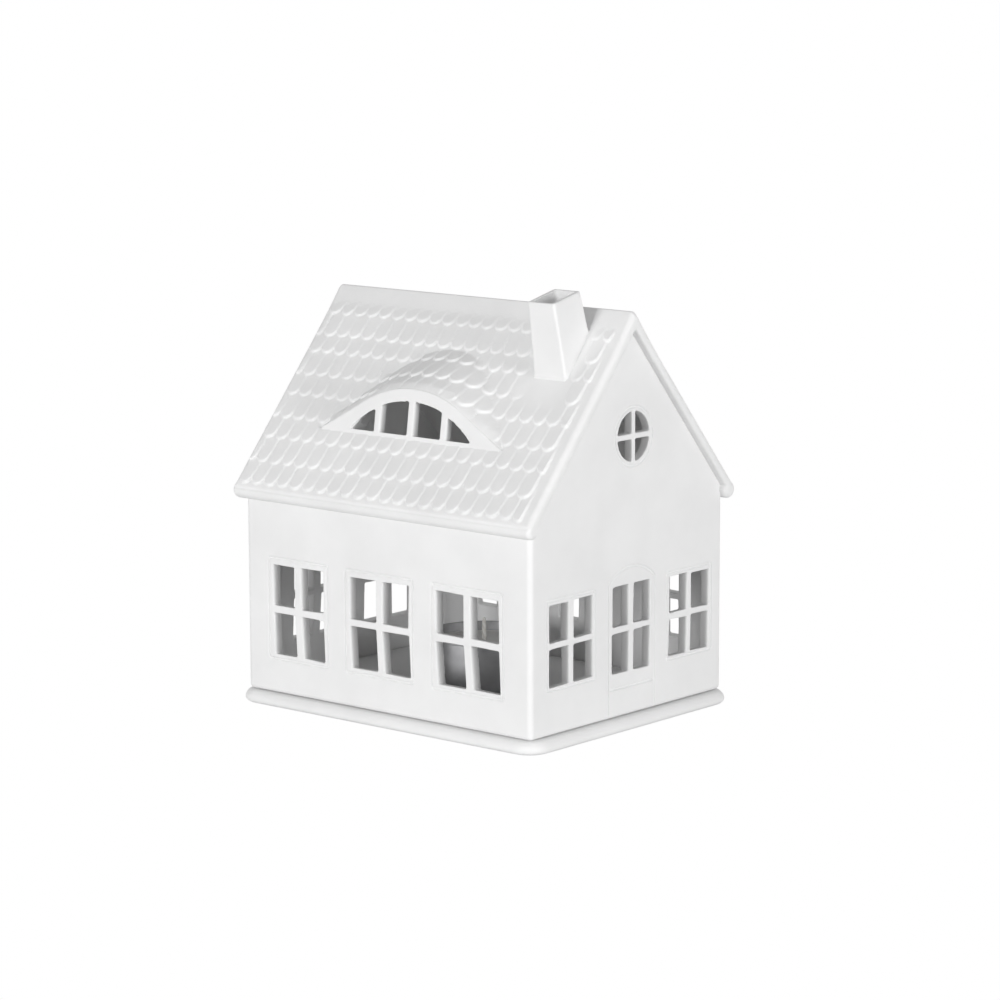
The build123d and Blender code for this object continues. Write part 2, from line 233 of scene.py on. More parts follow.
def length(name, description, millimetres):
    """A length for the sidebar."""
    return FloatProperty(
        name=name, description=description, default=millimetres * MM, unit="LENGTH")


def grey(value):
    return value, value, value, 1.0


class HouseSizes(PropertyGroup):
    wall_thickness: length("Wall thickness", "Thickness of the cast walls", 3.2)
    corner_radius: length("Corner radius", "Roundness of the upright corners of the walls", 1.7)
    pane_corner: length("Pane corner", "Roundness of the corners of the cut panes", 0.4)
    groove_width: length("Groove width", "Width of the grooves round windows and door", 0.9)
    groove_depth: length("Groove depth", "Depth of the grooves round windows and door", 0.45)
    hand_cut: length("Hand-cut play", "How far a pane's corner may stray from true", 0.22)


class RoofSizes(PropertyGroup):
    tile_pitch: length("Tile pitch", "Distance from one tile to the next", 5.5)
    tile_gap: length("Tile gap", "Width of the joint between neighbouring tiles", 0.2)
    tile_step: length("Tile step", "Height of a tile's round end over the course below", 0.8)
    groove_radius: length("Eave groove", "Radius of the groove above the rolled eave", 0.75)


class CastFinish(PropertyGroup):
    detail: length("Detail", "Size of the smallest form that the casting keeps", 0.3)
    fine_detail: length("Fine detail", "The same for the walls, the dormer and the chimney", 0.25)
    most_triangles: IntProperty(
        name="Most triangles", description="Triangles that one cast piece may have",
        default=185000)
    body_colour: FloatVectorProperty(
        name="Porcelain", description="Colour of the unglazed porcelain",
        subtype="COLOR", size=4, default=grey(0.83), min=0.0, max=1.0)
    shade_colour: FloatVectorProperty(
        name="Porcelain, dull", description="Colour of its faint darker clouds",
        subtype="COLOR", size=4, default=grey(0.79), min=0.0, max=1.0)


class StageLook(PropertyGroup):
    azimuth: FloatProperty(
        name="Azimuth", description="Direction of the camera round the house",
        default=math.radians(40.362), subtype="ANGLE")
    elevation: FloatProperty(
        name="Elevation", description="Height of the camera over the horizon",
        default=math.radians(9.737), subtype="ANGLE")
    roll: FloatProperty(
        name="Roll", description="Turn of the camera about its own axis",
        default=math.radians(-0.173), subtype="ANGLE")
    distance: length("Distance", "Distance from the camera to the house", 1182.5)
    aside: length("Aside", "How far the camera stands to the right", 5.275)
    aim_height: length("Aim height", "Height that the camera aims at", 66.53)
    lens: FloatProperty(
        name="Lens", description="Focal length in millimetres", default=131.7)
    left_power: FloatProperty(
        name="Left light", description="Power of the soft light in front of the three windows",
        default=11.5, unit="POWER")
    right_power: FloatProperty(
        name="Right light", description="Power of the soft light in front of the door",
        default=11.2, unit="POWER")
    back_power: FloatProperty(
        name="Back light", description="Power of the faint light behind the house",
        default=3.5, unit="POWER")


def clamp(value, low=0.0, high=1.0):
    return min(high, max(low, value))


def mm(*place):
    """Millimetres as a vector in metres."""
    return Vector(place) * MM


def pick(*pieces):
    """Deselects everything, then selects the pieces, with the first one active."""
    if bpy.context.object and bpy.context.object.mode != "OBJECT":
        bpy.ops.object.mode_set(mode="OBJECT")
    bpy.ops.object.select_all(action="DESELECT")
    for piece in pieces:
        piece.select_set(True)
    bpy.context.view_layer.objects.active = pieces[0]


def open_mesh(piece, kind, test):
    """Opens a piece in edit mode, with the corners, edges or faces that pass a test selected."""
    pick(piece)
    bpy.ops.object.mode_set(mode="EDIT")
    bpy.ops.mesh.select_mode(type=kind)
    bpy.ops.mesh.select_all(action="DESELECT")
    mesh = bmesh.from_edit_mesh(piece.data)
    parts = {"VERT": mesh.verts, "EDGE": mesh.edges, "FACE": mesh.faces}[kind]
    for part in parts:
        if test(part):
            part.select_set(True)
    mesh.select_flush_mode()
    bmesh.update_edit_mesh(piece.data)


def close_mesh():
    """Leaves edit mode."""
    bpy.ops.object.mode_set(mode="OBJECT")


def face_out(piece):
    """Merges doubles and turns all faces outwards."""
    open_mesh(piece, "FACE", lambda face: True)
    bpy.ops.mesh.remove_doubles(threshold=0.001 * MM)
    bpy.ops.mesh.normals_make_consistent(inside=False)
    close_mesh()


def take(name):
    """Names the new primitive and puts its place, turn and size into its mesh."""
    piece = bpy.context.object
    piece.name = piece.data.name = name
    bpy.ops.object.transform_apply(location=True, rotation=True, scale=True)
    return piece


def block(name, low, high):
    """A cuboid from its lowest to its highest corner in millimetres."""
    low, high = Vector(low), Vector(high)
    bpy.ops.mesh.primitive_cube_add(size=1, location=(low + high) / 2 * MM, scale=(high - low) * MM)
    return take(name)


def rod(name, start, end, radius, sides):
    """A cylinder between two points in millimetres."""
    start, end = Vector(start), Vector(end)
    turn = (end - start).to_track_quat("Z", "Y").to_euler()
    bpy.ops.mesh.primitive_cylinder_add(
        vertices=sides, radius=radius * MM, depth=(end - start).length * MM,
        location=(start + end) / 2 * MM, rotation=turn)
    return take(name)


def round_edges(piece, radius, segments, test):
    """Bevels the edges that pass the test."""
    open_mesh(piece, "EDGE", test)
    bpy.ops.mesh.bevel(offset=radius, segments=segments, affect="EDGES", clamp_overlap=True)
    close_mesh()


def along(axis):
    """Test for edges that run along an axis: 0, 1 or 2."""
    def runs(edge):
        way = edge.verts[1].co - edge.verts[0].co
        return abs(way[axis]) > 0.99 * way.length
    return runs


def square_to(axis):
    """Test for edges that lie square to an axis."""
    return lambda edge: abs(edge.verts[0].co[axis] - edge.verts[1].co[axis]) < 0.01 * MM


def lowest(edge, axis=2):
    """The least place of an edge along an axis, in millimetres."""
    return min(corner.co[axis] for corner in edge.verts) / MM


def highest(edge, axis=2):
    return max(corner.co[axis] for corner in edge.verts) / MM


def soften(piece, degrees):
    """Shades a piece smooth, but for edges sharper than an angle."""
    pick(piece)
    bpy.ops.object.shade_smooth_by_angle(angle=math.radians(degrees))


def shave(piece, point, normal):
    """Cuts off what lies outside a plane and closes the cut. The point is in metres."""
    open_mesh(piece, "FACE", lambda face: True)
    bpy.ops.mesh.bisect(
        plane_co=point, plane_no=normal, use_fill=True, clear_outer=True, clear_inner=False)
    close_mesh()


def slice_at(piece, point, normal):
    """Adds a row of edges where a plane crosses a piece. The point is in metres."""
    open_mesh(piece, "FACE", lambda face: True)
    bpy.ops.mesh.bisect(plane_co=point, plane_no=normal)
    close_mesh()


def joined(name, pieces):
    """Makes one object of several."""
    pick(*pieces)
    bpy.ops.object.join()
    piece = bpy.context.object
    piece.name = piece.data.name = name
    return piece


def cut(piece, cutters):
    """Cuts the cutters out of a piece and deletes them."""
    cutter = joined("cutter", cutters) if len(cutters) > 1 else cutters[0]
    pick(piece)
    change = piece.modifiers.new("cut", "BOOLEAN")
    change.operation = "DIFFERENCE"
    change.solver = "EXACT"
    change.object = cutter
    bpy.ops.object.modifier_apply(modifier=change.name)
    bpy.data.objects.remove(cutter)


def copied(piece, name):
    """A copy with its own mesh."""
    twin = piece.copy()
    twin.data = piece.data.copy()
    twin.name = twin.data.name = name
    bpy.context.collection.objects.link(twin)
    return twin


def cast(piece, detail, rounds, most):
    """Fuses the shells of a piece and softens its edges, as slip casting and sponging do."""
    pick(piece)
    fuse = piece.modifiers.new("fuse", "REMESH")
    fuse.mode = "VOXEL"
    fuse.voxel_size = detail
    fuse.adaptivity = 0.0
    bpy.ops.object.modifier_apply(modifier=fuse.name)
    sponge = piece.modifiers.new("sponge", "SMOOTH")
    sponge.factor = 0.5
    sponge.iterations = rounds
    bpy.ops.object.modifier_apply(modifier=sponge.name)
    triangles = 2 * len(piece.data.polygons)
    if triangles > most:
        thin = piece.modifiers.new("thin", "DECIMATE")
        thin.ratio = most / triangles
        bpy.ops.object.modifier_apply(modifier=thin.name)
    bpy.ops.object.shade_smooth()


def dress(piece, material, body, slot, *nodes):
    """Gives a piece its material and its body, and hides the nodes that it stands for; the slot is
    not used.
    """
    piece.data.materials.clear()
    piece.data.materials.append(material)
    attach(piece, body)
    if nodes:
        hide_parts(*nodes)


# Materials

def new_material(name):
    """A node material, with its shader and its Object coordinates."""
    material = bpy.data.materials.get(name)
    if material is None:
        material = bpy.data.materials.new(name)
    material.use_nodes = True
    nodes = material.node_tree.nodes
    nodes.clear()
    output = nodes.new("ShaderNodeOutputMaterial")
    shader = nodes.new("ShaderNodeBsdfPrincipled")
    place = nodes.new("ShaderNodeTexCoord")
    material.node_tree.links.new(shader.outputs["BSDF"], output.inputs["Surface"])
    return material, shader, place


def add_node(material, kind, values, sources):
    """Adds a shader node, sets its values and links what feeds it."""
    node = material.node_tree.nodes.new(kind)
    for name, value in values.items():
        node.inputs[name].default_value = value
    for name, source in sources.items():
        material.node_tree.links.new(source, node.inputs[name])
    return node


def grain(material, place, scale, detail, roughness=0.5):
    """Noise that sits on the object."""
    return add_node(
        material, "ShaderNodeTexNoise",
        {"Scale": scale, "Detail": detail, "Roughness": roughness},
        {"Vector": place.outputs["Object"]})


def ramp(material, pattern, stops):
    """Maps a pattern to colours at given places."""
    node = add_node(material, "ShaderNodeValToRGB", {}, {"Fac": pattern.outputs["Fac"]})
    elements = node.color_ramp.elements
    while len(elements) < len(stops):
        elements.new(1.0)
    for element, (place, colour) in zip(elements, stops):
        element.position = place
        element.color = colour
    return node


def spread(material, pattern, low, high):
    """Maps a pattern to a range."""
    return add_node(
        material, "ShaderNodeMapRange", {"To Min": low, "To Max": high},
        {"Value": pattern.outputs["Fac"]})


def relief(material, pattern, strength, depth, under):
    """A bump from a pattern, with its depth in millimetres, laid over another bump."""
    sources = {"Height": pattern.outputs["Fac"]}
    if under is not None:
        sources["Normal"] = under.outputs["Normal"]
    return add_node(
        material, "ShaderNodeBump", {"Strength": strength, "Distance": depth * MM}, sources)


def surface(material, shader, pattern, tones, roughness, *bumps):
    """Gives a shader the tones and roughness of a pattern, with bumps over one another."""
    link = material.node_tree.links.new
    link(ramp(material, pattern, tones).outputs["Color"], shader.inputs["Base Color"])
    link(spread(material, pattern, *roughness).outputs["Result"], shader.inputs["Roughness"])
    node = None
    for height, strength, depth in bumps:
        node = relief(material, height, strength, depth, node)
    link(node.outputs["Normal"], shader.inputs["Normal"])


def bisque():
    """Unglazed porcelain: matt, with a fine grain, faint clouds and the sponge's soft waves."""
    finish = bpy.context.scene.tealight_house_finish
    material, shader, place = new_material("bisque_porcelain")
    surface(
        material, shader, grain(material, place, 45.0, 4.0, 0.55),
        ((0.30, tuple(finish.shade_colour)), (0.62, tuple(finish.body_colour))), (0.62, 0.78),
        (grain(material, place, 90.0, 2.0), 0.35, 0.25),
        (grain(material, place, 900.0, 3.0), 0.25, 0.06),
        (grain(material, place, 4200.0, 2.0), 0.3, 0.02))
    shader.inputs["Specular IOR Level"].default_value = 0.3
    return material


def foil():
    """Pressed aluminium foil: satin, with a fine brushed grain and soft dents."""
    material, shader, place = new_material("aluminium_foil")
    shader.inputs["Metallic"].default_value = 1.0
    dents = grain(material, place, 260.0, 2.0)
    surface(
        material, shader, dents,
        ((0.3, (0.38, 0.38, 0.39, 1.0)), (0.7, (0.46, 0.46, 0.47, 1.0))), (0.5, 0.62),
        (dents, 0.3, 0.2), (grain(material, place, 3000.0, 2.0), 0.2, 0.02))
    return material


def paraffin():
    """White wax: smooth, faintly clouded, with light that goes a little way in."""
    material, shader, place = new_material("paraffin_wax")
    clouds = grain(material, place, 160.0, 3.0)
    surface(
        material, shader, clouds,
        ((0.35, (0.80, 0.79, 0.76, 1.0)), (0.65, (0.86, 0.855, 0.83, 1.0))), (0.32, 0.45),
        (clouds, 0.3, 0.15))
    shader.inputs["Subsurface Weight"].default_value = 0.25
    shader.inputs["Subsurface Radius"].default_value = (3.0, 2.6, 2.2)
    shader.inputs["Subsurface Scale"].default_value = MM
    return material


def cotton():
    """Plaited cotton, stiff with wax."""
    material, shader, place = new_material("waxed_cotton")
    plait = add_node(
        material, "ShaderNodeTexWave", {"Scale": 260.0, "Distortion": 1.2},
        {"Vector": place.outputs["Object"]})
    plait.bands_direction = "DIAGONAL"
    surface(
        material, shader, plait,
        ((0.2, (0.72, 0.70, 0.66, 1.0)), (0.8, (0.80, 0.79, 0.76, 1.0))), (0.6, 0.8),
        (plait, 0.4, 0.06))
    return material


def tinned_steel():
    """Pressed tinned steel of the wick's foot."""
    material, shader, place = new_material("tinned_steel")
    shader.inputs["Metallic"].default_value = 1.0
    marks = grain(material, place, 900.0, 3.0)
    surface(
        material, shader, marks, ((0.3, (0.50, 0.50, 0.51, 1.0)), (0.7, grey(0.62))),
        (0.25, 0.45), (marks, 0.2, 0.03))
    return material


def pale_floor():
    """A pale sheet that looks white without lighting the object from below."""
    material, shader, place = new_material("pale_floor")
    nodes, link = material.node_tree.nodes, material.node_tree.links.new
    tone = ramp(material, grain(material, place, 6.0, 2.0), ((0.3, grey(0.80)), (0.7, grey(0.82))))
    link(tone.outputs["Color"], shader.inputs["Base Color"])
    shader.inputs["Roughness"].default_value = 0.9
    white = nodes.new("ShaderNodeEmission")
    seen = nodes.new("ShaderNodeMixShader")
    link(nodes.new("ShaderNodeLightPath").outputs["Is Camera Ray"], seen.inputs["Fac"])
    link(shader.outputs["BSDF"], seen.inputs[1])
    link(white.outputs["Emission"], seen.inputs[2])
    output = next(node for node in nodes if node.type == "OUTPUT_MATERIAL")
    link(seen.outputs["Shader"], output.inputs["Surface"])
    return material


# Forms in house places

def slope_place(side, x, along_slope, out):
    """A point of one slope in metres, from its place down the slope and out of it."""
    y = side * (along_slope * SLOPE_RUN + out * SLOPE_RISE)
    z = RIDGE_Z - along_slope * SLOPE_RISE + out * SLOPE_RUN
    return mm(x, y, z)


def slope_normal(side):
    return Vector((0, side * SLOPE_RISE, SLOPE_RUN))


def wall_place(wall, across, up, out):
    """A point of one wall in metres, from its place along it, over the foot and out of it."""
    z = FLOOR_Z + up
    return {
        "front": mm(across, -HALF_DEPTH - out, z),
        "back": mm(across, HALF_DEPTH + out, z),
        "door": mm(HALF_LENGTH + out, across, z),
        "far": mm(-HALF_LENGTH - out, across, z),
    }[wall]


def onto_wall(piece, wall):
    """Lays a piece made flat, with X across, Y up and Z out, onto a wall."""
    for corner in piece.data.vertices:
        across, up, out = corner.co / MM
        corner.co = wall_place(wall, across, up, out)
    face_out(piece)


def disc(name, outline):
    """A flat face whose corners are moved onto an outline of points in millimetres."""
    bpy.ops.mesh.primitive_circle_add(vertices=len(outline), radius=MM, fill_type="NGON")
    piece = take(name)
    for corner, point in zip(piece.data.vertices, outline):
        corner.co = Vector(point) * MM
    return piece


def prism(name, outline, way):
    """A solid from an outline that is pushed along a way, both in millimetres."""
    piece = disc(name, outline)
    open_mesh(piece, "FACE", lambda face: True)
    bpy.ops.mesh.extrude_region_move(TRANSFORM_OT_translate={"value": Vector(way) * MM})
    close_mesh()
    face_out(piece)
    return piece


def ring_prism(name, outer, inner, low, high):
    """A flat ring between two outlines with the same count of points, from low to high in Z."""
    piece = prism(name, [(x, y, low) for x, y in outer], (0, 0, high - low))
    core = prism(name, [(x, y, low - 1) for x, y in inner], (0, 0, high - low + 2))
    cut(piece, [core])
    return piece


def rounded_outline(centre, width, low, height, radius):
    """Corners of a rounded oblong, for a flat piece."""
    steps = 5
    points = []
    half_x, half_y = width / 2, height / 2
    for turn, (sx, sy) in enumerate(((1, 1), (-1, 1), (-1, -1), (1, -1))):
        for step in range(steps):
            angle = math.pi / 2 * (turn + step / (steps - 1))
            x = centre + sx * (half_x - radius) + radius * math.cos(angle)
            y = low + half_y + sy * (half_y - radius) + radius * math.sin(angle)
            points.append((x, y))
    return points


def arc(centre, radius, start, end, steps):
    """Points on an arc, with its angles in degrees."""
    points = []
    for step in range(steps + 1):
        angle = math.radians(start + (end - start) * step / steps)
        points.append((centre[0] + radius * math.cos(angle), centre[1] + radius * math.sin(angle)))
    return points


# Walls

def lip(depth):
    """How much wider a sponged opening is, at a depth under the face."""
    share = 1 - clamp(depth / LIP_REACH)
    return LIP_WIDTH * (1 - math.sqrt(1 - share * share)) - LIP_INSET


def sponge_edges(cutter, low_x, high_x, plane_at, normal, depth_of):
    """Rounds the outer edges that an opening's cutter leaves, from side to side."""
    for depth in LIP_STEPS:
        slice_at(cutter, plane_at(depth) * MM, normal)
    for corner in cutter.data.vertices:
        side = (2 * corner.co.x / MM - low_x - high_x) / (high_x - low_x)
        corner.co.x += clamp(side, -1.0, 1.0) * lip(depth_of(corner.co / MM)) * MM


def along_out(edge):
    """Whether an edge of a pane's cutter runs through the wall."""
    return abs(edge.verts[1].co.z - edge.verts[0].co.z) > CUT_IN / 2 * MM


def pane_cutter(wall, low_x, high_x, low_y, high_y, lean, back_lean, sizes, draw):
    """One pane, cut by hand: its corners stray a little, and the knife leans."""
    piece = block("pane", (low_x, low_y, -CUT_IN), (high_x, high_y, CUT_OUT))
    stray = sizes.hand_cut / MM
    moves = {}
    for corner in piece.data.vertices:
        x, y, z = corner.co / MM
        key = (round(x), round(y))
        if key not in moves:
            moves[key] = (draw.uniform(-stray, stray), draw.uniform(-stray, stray))
        push, drop = 0.0, 0.0
        if y < (low_y + high_y) / 2:
            push = back_lean if z < 0 else lean
            drop = SILL_FALL if z < 0 else 0.0
        corner.co = mm(x + moves[key][0] + push, y + moves[key][1] - drop, z)
    round_edges(piece, sizes.pane_corner, 3, along_out)
    sponge_edges(piece, low_x, high_x, lambda depth: Vector((0, 0, -depth)), (0, 0, 1),
                 lambda place: -place.z)
    onto_wall(piece, wall)
    return piece


def groove_ring(wall, outer, inner, sizes):
    """Cutter for the groove between two outlines on a wall."""
    ring = ring_prism("groove", outer, inner, -sizes.groove_depth / MM, GROOVE_OUT)
    onto_wall(ring, wall)
    return ring


def window_cutters(wall, sill, height, post, bar, margin, window, sizes, draw):
    """Four panes and the groove of the frame round them."""
    centre, width, lean, back_lean = window
    pane_w, pane_h = (width - post) / 2, (height - bar) / 2
    cutters = []
    for side in (-1, 1):
        middle = centre + side * (pane_w + post) / 2
        for low, face_lean, room_lean in (
                (sill, lean, back_lean),
                (sill + pane_h + bar, 0.0, UPPER_LEAN_SHARE * back_lean)):
            cutters.append(pane_cutter(
                wall, middle - pane_w / 2, middle + pane_w / 2, low, low + pane_h,
                face_lean, room_lean, sizes, draw))
    if margin is not None:
        outlines = [
            rounded_outline(centre, width + 2 * reach, sill - reach, height + 2 * reach, radius)
            for reach, radius in ((margin, 1.2), (margin - sizes.groove_width / MM, 0.5))]
        cutters.append(groove_ring(wall, outlines[0], outlines[1], sizes))
    return cutters


def round_window_cutters(wall, sizes):
    """Four quarters of a round window and the groove round them."""
    inset = math.degrees(math.asin(ROUND_HALF_BAR / ROUND_RADIUS))
    inner_corner = ROUND_HALF_BAR * math.sqrt(2)
    cutters = []
    for turn in (0, 90, 180, 270):
        rim = arc((0, 0), ROUND_RADIUS, turn + inset, turn + 90 - inset, 8)
        spoke = math.radians(turn + 45)
        rim.append((inner_corner * math.cos(spoke), inner_corner * math.sin(spoke)))
        points = [(ROUND_CENTRE + x, ROUND_HEIGHT + y, -CUT_IN) for x, y in rim]
        quarter = prism("quarter", points, (0, 0, CUT_IN + CUT_OUT))
        onto_wall(quarter, wall)
        cutters.append(quarter)
    middle = (ROUND_CENTRE, ROUND_HEIGHT)
    radius = ROUND_RADIUS + ROUND_MARGIN
    outer = arc(middle, radius, 0, 350, 35)
    inner = arc(middle, radius - sizes.groove_width / MM, 0, 350, 35)
    return cutters + [groove_ring(wall, outer, inner, sizes)]


def door_outline(inset):
    """The door's outline, with its low arch on top."""
    half = DOOR_LIGHT_WIDTH / 2 + DOOR_MARGIN - inset
    spring, rise = DOOR_SPRING - inset / 2, DOOR_RISE - inset / 2
    radius = (half * half + rise * rise) / (2 * rise)
    reach = math.degrees(math.asin(half / radius))
    crown = arc((DOOR_CENTRE, spring + rise - radius), radius, 90 - reach, 90 + reach, 12)
    return [(DOOR_CENTRE + half, -1.0)] + crown + [(DOOR_CENTRE - half, -1.0)]


def door_cutters(sizes):
    """The grooves of the door: its outline and the rail over its lower panel."""
    groove = sizes.groove_width / MM
    half = DOOR_LIGHT_WIDTH / 2 + DOOR_MARGIN - 1
    rail = block(
        "groove", (DOOR_CENTRE - half, DOOR_RAIL - groove, -sizes.groove_depth / MM),
        (DOOR_CENTRE + half, DOOR_RAIL, GROOVE_OUT))
    onto_wall(rail, "door")
    return [groove_ring("door", door_outline(0), door_outline(groove), sizes), rail]


def wall_shell(sizes):
    """Four walls in one, open below, with their tops under the roof."""
    foot = FLOOR_Z + FOOT_GAP
    shell = block(
        "walls_cast", (-HALF_LENGTH, -HALF_DEPTH, foot), (HALF_LENGTH, HALF_DEPTH, RIDGE_Z))
    round_edges(shell, sizes.corner_radius, 5, along(2))
    round_edges(shell, FOOT_RADIUS * MM, 4, lambda edge: highest(edge) < foot + 0.01)
    for side in (FRONT, BACK):
        shave(shell, slope_place(side, 0, 0, -ROOF_THICKNESS / 2), slope_normal(side))
    thickness = sizes.wall_thickness / MM
    room = block(
        "room", (-HALF_LENGTH + thickness, -HALF_DEPTH + thickness, -1),
        (HALF_LENGTH - thickness, HALF_DEPTH - thickness, RIDGE_Z + 1))
    round_edges(room, ROOM_CORNER * MM, 2, along(2))
    cut(shell, [room])
    return shell


class TEALIGHT_OT_walls(Operator):
    """Casts the four walls in one, with the hand-cut panes and the engraved frames and door"""
    bl_idname = "tealight_house.walls"
    bl_label = "Walls"

    def execute(self, context):
        sizes = context.scene.tealight_house_sizes
        finish = context.scene.tealight_house_finish
        draw = random.Random(11)
        shell = wall_shell(sizes)
        cutters = []
        for *shape, windows in WINDOWS:
            for window in windows:
                cutters += window_cutters(*shape, window, sizes, draw)
        cutters += door_cutters(sizes)
        cutters += round_window_cutters("door", sizes)
        cutters += round_window_cutters("far", sizes)
        cut(shell, cutters)
        cast(shell, finish.fine_detail, 1, finish.most_triangles)
        dress(shell, bisque(), "house", "porcelain",
              "front_wall", "back_wall", "door_gable", "far_gable")
        return {"FINISHED"}


# Dormer

def crown(inset):
    """The crown's radius, its half width and the height of its ends over its centre."""
    radius = CROWN_RADIUS - inset
    half = CROWN_HALF * radius / CROWN_RADIUS
    return radius, half, math.sqrt(radius * radius - half * half)


def crown_rise(x, inset=0.0):
    """Height of the dormer's outline over its foot: a round crown, then straight flanks."""
    radius, half, ends = crown(inset)
    centre = CROWN_HEIGHT - inset - radius
    across = abs(x)
    if across <= half:
        return centre + math.sqrt(radius * radius - across * across)
    return centre + ends - half / ends * (across - half)


def crown_tip(inset=0.0):
    """Where the straight flank comes down to the height of the foot."""
    half, ends = crown(inset)[1:]
    return half + (crown_rise(half, inset) - FOOT_RISE) / (half / ends)


def on_dormer(x, up, ahead):
    """A point in millimetres: across the dormer's face, up it, and ahead along the climb."""
    y = DORMER_FOOT + up * math.sin(DORMER_LEAN) + ahead * math.cos(DORMER_CLIMB)
    z = DORMER_FOOT_Z + up * math.cos(DORMER_LEAN) + ahead * math.sin(DORMER_CLIMB)
    return Vector((x, y, z))


def climb(way):
    """So many millimetres back along the dormer's climb."""
    return Vector((0, math.cos(DORMER_CLIMB), math.sin(DORMER_CLIMB))) * way


def dormer_outline(inset, ahead):
    """The dormer's outline, from its foot over the crown."""
    tip = crown_tip(inset)
    steps = 44
    points = [on_dormer(-tip, 0, ahead), on_dormer(tip, 0, ahead)]
    for step in range(steps + 1):
        x = tip - 2 * tip * step / steps
        points.append(on_dormer(x, crown_rise(x, inset), ahead))
    return points


def light_rise(x):
    """Top of the dormer's opening: a segment of a circle over the sill."""
    radius = (LIGHT_HALF ** 2 + LIGHT_RISE ** 2) / (2 * LIGHT_RISE)
    return DORMER_SILL + LIGHT_RISE - radius + math.sqrt(max(0, radius ** 2 - x ** 2))


def light_outline(low_x, high_x, ahead):
    """The outline of a part of the dormer's opening."""
    steps = 12
    points = [on_dormer(low_x, DORMER_SILL, ahead), on_dormer(high_x, DORMER_SILL, ahead)]
    for step in range(steps + 1):
        x = high_x + (low_x - high_x) * step / steps
        rise = light_rise(x)
        if rise > DORMER_SILL + 0.02:
            points.append(on_dormer(x, rise, ahead))
    return points


def in_dormer(place):
    """How far up the dormer's face and how far ahead of it a point in millimetres lies."""
    back, rise = place.y - DORMER_FOOT, place.z - DORMER_FOOT_Z
    turn = math.cos(DORMER_LEAN + DORMER_CLIMB)
    up = (rise * math.cos(DORMER_CLIMB) - back * math.sin(DORMER_CLIMB)) / turn
    ahead = (back * math.cos(DORMER_LEAN) - rise * math.sin(DORMER_LEAN)) / turn
    return up, ahead


def light_cutter(name, low_x, high_x, start, end):
    """A way through the dormer's front: its sill falls inwards and its outer edges are rounded."""
    cutter = prism(name, light_outline(low_x, high_x, start), climb(end - start))
    sponge_edges(cutter, low_x, high_x, lambda depth: on_dormer(0, 0, depth),
                 (0, math.cos(DORMER_LEAN), -math.sin(DORMER_LEAN)),
                 lambda place: in_dormer(place)[1])
    for corner in cutter.data.vertices:
        up, ahead = in_dormer(corner.co / MM)
        if up < DORMER_SILL + 0.01:
            corner.co.z -= SILL_TURN * ahead * MM
    return cutter


def throat_cutter():
    """The way in behind the dormer's opening."""
    edge = LIGHT_HALF - 0.01
    return light_cutter("throat", -edge, edge, 0, HOOD_LENGTH + 2)


def hollow_cutter():
    """The hole in the slope under the hood, behind the dormer's front."""
    outline = light_outline(-LIGHT_HALF + 2, LIGHT_HALF - 2, DORMER_DEPTH)
    for corner in outline[:2]:
        corner.z -= HOLLOW_DROP
    return prism("hollow", outline, climb(HOOD_LENGTH))


def sink_back(front):
    """Narrows the back of the dormer's front, so that it dives into the hood."""
    middle = on_dormer(0, 0, DORMER_DEPTH)
    for corner in front.data.vertices:
        from_foot = corner.co / MM - middle
        ahead = from_foot.y - from_foot.z * math.tan(DORMER_LEAN)
        if ahead > -DORMER_DEPTH / 4:
            corner.co = (middle + from_foot * BACK_SHARE) * MM


class TEALIGHT_OT_dormer(Operator):
    """Makes the arched front of the dormer, with its three posts"""
    bl_idname = "tealight_house.dormer"
    bl_label = "Dormer window"

    def execute(self, context):
        finish = context.scene.tealight_house_finish
        front = prism("dormer_front", dormer_outline(0, 0), climb(DORMER_DEPTH))
        sink_back(front)
        half_post = DORMER_POST / 2
        edges = (
            (-LIGHT_HALF + 0.01, -DORMER_POST_PITCH - half_post),
            (-DORMER_POST_PITCH + half_post, -half_post),
            (half_post, DORMER_POST_PITCH - half_post),
            (DORMER_POST_PITCH + half_post, LIGHT_HALF - 0.01),
        )
        lights = [light_cutter("light", low, high, -2, DORMER_DEPTH + 2) for low, high in edges]
        cut(front, lights)
        cast(front, finish.fine_detail, 4, finish.most_triangles)
        dress(front, bisque(), "house", "porcelain", "dormer_window")
        return {"FINISHED"}


# Roof

def hood_shape():
    """The dormer's hood as a solid, from behind the window up to the slope."""
    hood = prism("hood", dormer_outline(HOOD_INSET, HOOD_START), climb(HOOD_LENGTH))
    shave(hood, slope_place(FRONT, 0, 0, -HOOD_SINK), -slope_normal(FRONT))
    return hood


def swell(along_slope):
    """How much thicker the roof is towards its ridge."""
    return RIDGE_SWELL * max(0.0, 1 - along_slope / RIDGE_REACH) ** 2


